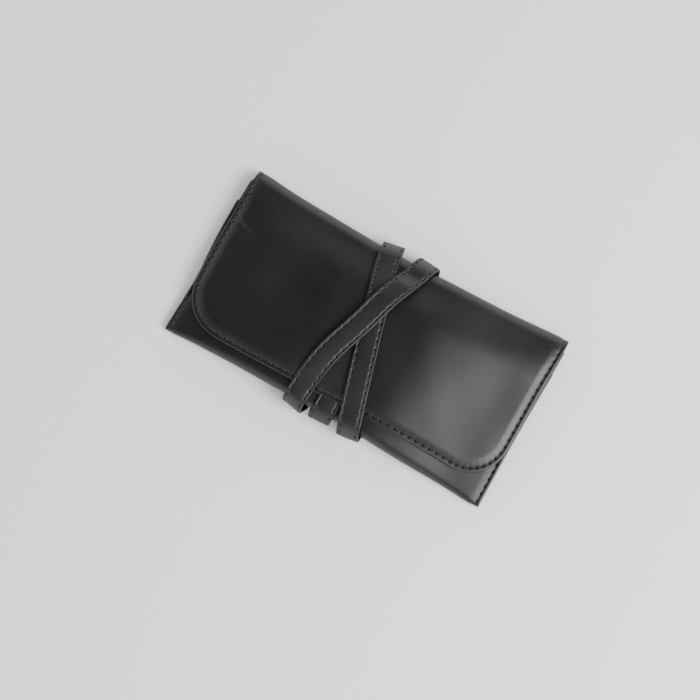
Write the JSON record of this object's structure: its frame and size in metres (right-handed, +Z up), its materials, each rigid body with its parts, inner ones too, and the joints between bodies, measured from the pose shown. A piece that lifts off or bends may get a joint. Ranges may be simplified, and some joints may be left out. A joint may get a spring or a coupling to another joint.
{
  "type": "brush roll case",
  "caption": "Padded black leather envelope for brushes, with a rounded flap closed by a long stitched strap that wraps round it and crosses on the front",
  "frame": {"origin": "centre of the footprint of the closed case, on the surface it lies on", "axes": "+X along the long side, +Y towards the top fold that the flap swings about, +Z up, from the back panel to the flap"},
  "size_m": [0.204, 0.1155, 0.0247],
  "materials": {
    "black_leather": "smooth semi-gloss black",
    "strap_leather": "smooth semi-gloss black with rounded painted edges",
    "strap_backing_leather": "matt black",
    "padding_felt": "grey needled felt, hidden inside",
    "lining_fabric": "black woven lining",
    "bonded_thread": "black bonded thread"
  },
  "bodies": {
    "case": {"outer_shell": "black_leather", "back_padding": "padding_felt", "pocket_lining": "lining_fabric", "slot_panel": "lining_fabric", "top_fold_leather": "black_leather", "top_fold_lining": "lining_fabric", "left_seam_thread": "bonded_thread", "right_seam_thread": "bonded_thread", "pocket_mouth_thread": "bonded_thread"},
    "flap": {"flap_leather": "black_leather", "flap_padding": "padding_felt", "flap_lining": "lining_fabric", "flap_thread": "bonded_thread", "strap_start_outer": "strap_leather", "strap_start_backing": "strap_backing_leather"},
    "strap_back_pass_1": {"strap_back_pass_1_outer": "strap_leather", "strap_back_pass_1_backing": "strap_backing_leather"},
    "strap_front_band_1": {"strap_front_band_1_outer": "strap_leather", "strap_front_band_1_backing": "strap_backing_leather"},
    "strap_back_pass_2": {"strap_back_pass_2_outer": "strap_leather", "strap_back_pass_2_backing": "strap_backing_leather"},
    "strap_front_band_2": {"strap_front_band_2_outer": "strap_leather", "strap_front_band_2_backing": "strap_backing_leather"},
    "strap_tail": {"strap_tail_outer": "strap_leather", "strap_tail_backing": "strap_backing_leather"}
  },
  "joints": [
    {"name": "flap_hinge", "type": "hinge", "parent": "case", "child": "flap", "pos_m": [0, 0.0487, 0.0114], "axis": [-1, 0, 0], "range_deg": [0, 180], "deforming": ["top_fold_leather", "top_fold_lining"]},
    {"name": "strap_bend_1", "type": "hinge", "parent": "flap", "child": "strap_back_pass_1", "pos_m": [-0.00035, -0.04983, 0.00932], "axis": [-0.998, -0.0628, 0], "range_deg": [0, 180], "deforming": ["strap_back_pass_1_outer", "strap_back_pass_1_backing", "strap_start_outer", "strap_start_backing"]},
    {"name": "strap_bend_2", "type": "hinge", "parent": "strap_back_pass_1", "child": "strap_front_band_1", "pos_m": [-0.01447, 0.04889, 0.01038], "axis": [-0.9806, -0.1959, 0], "range_deg": [0, 180], "deforming": ["strap_front_band_1_outer", "strap_front_band_1_backing"]},
    {"name": "strap_bend_3", "type": "hinge", "parent": "strap_front_band_1", "child": "strap_back_pass_2", "pos_m": [0.01428, -0.04962, 0.0104], "axis": [-0.9871, -0.1599, 0], "range_deg": [0, 180], "deforming": ["strap_back_pass_2_outer", "strap_back_pass_2_backing"]},
    {"name": "strap_bend_4", "type": "hinge", "parent": "strap_back_pass_2", "child": "strap_front_band_2", "pos_m": [0.01235, 0.04893, 0.01038], "axis": [-0.9951, 0.0993, 0], "range_deg": [0, 180], "deforming": ["strap_front_band_2_outer", "strap_front_band_2_backing"]},
    {"name": "strap_bend_5", "type": "hinge", "parent": "strap_front_band_2", "child": "strap_tail", "pos_m": [-0.01705, -0.05039, 0.01148], "axis": [-0.9826, 0.1857, 0], "range_deg": [0, 180], "deforming": ["strap_tail_outer", "strap_tail_backing"]}
  ],
  "couplings": [
    {"joint": "strap_bend_1", "follows": "flap_hinge", "ratio": 1},
    {"joint": "strap_bend_2", "follows": "flap_hinge", "ratio": 1},
    {"joint": "strap_bend_3", "follows": "flap_hinge", "ratio": 1},
    {"joint": "strap_bend_4", "follows": "flap_hinge", "ratio": 1},
    {"joint": "strap_bend_5", "follows": "flap_hinge", "ratio": 1}
  ]
}
